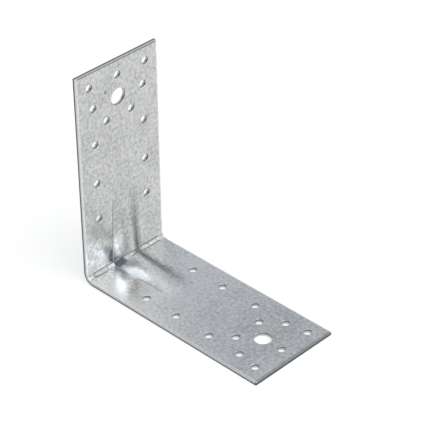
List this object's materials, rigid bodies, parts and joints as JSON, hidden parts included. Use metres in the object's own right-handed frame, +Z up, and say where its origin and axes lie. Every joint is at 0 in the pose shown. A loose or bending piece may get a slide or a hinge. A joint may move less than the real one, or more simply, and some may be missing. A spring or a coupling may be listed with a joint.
{
  "type": "reinforced angle bracket",
  "caption": "Right-angle steel timber connector with two equal perforated legs and a stiffening rib pressed through the fold.",
  "frame": {"origin": "on the underside of the base leg, below the middle of the part's box", "axes": "+X runs along the base leg from the fold to its tip, +Z up the wall leg, Y across the sheet"},
  "size_m": [0.145, 0.065, 0.145],
  "materials": {
    "galvanised_steel": "hot-dip galvanised sheet, dull mottled zinc with burnished patches round the foot of the rib"
  },
  "bodies": {
    "root": {"angle_bracket": "galvanised_steel"}
  },
  "joints": []
}
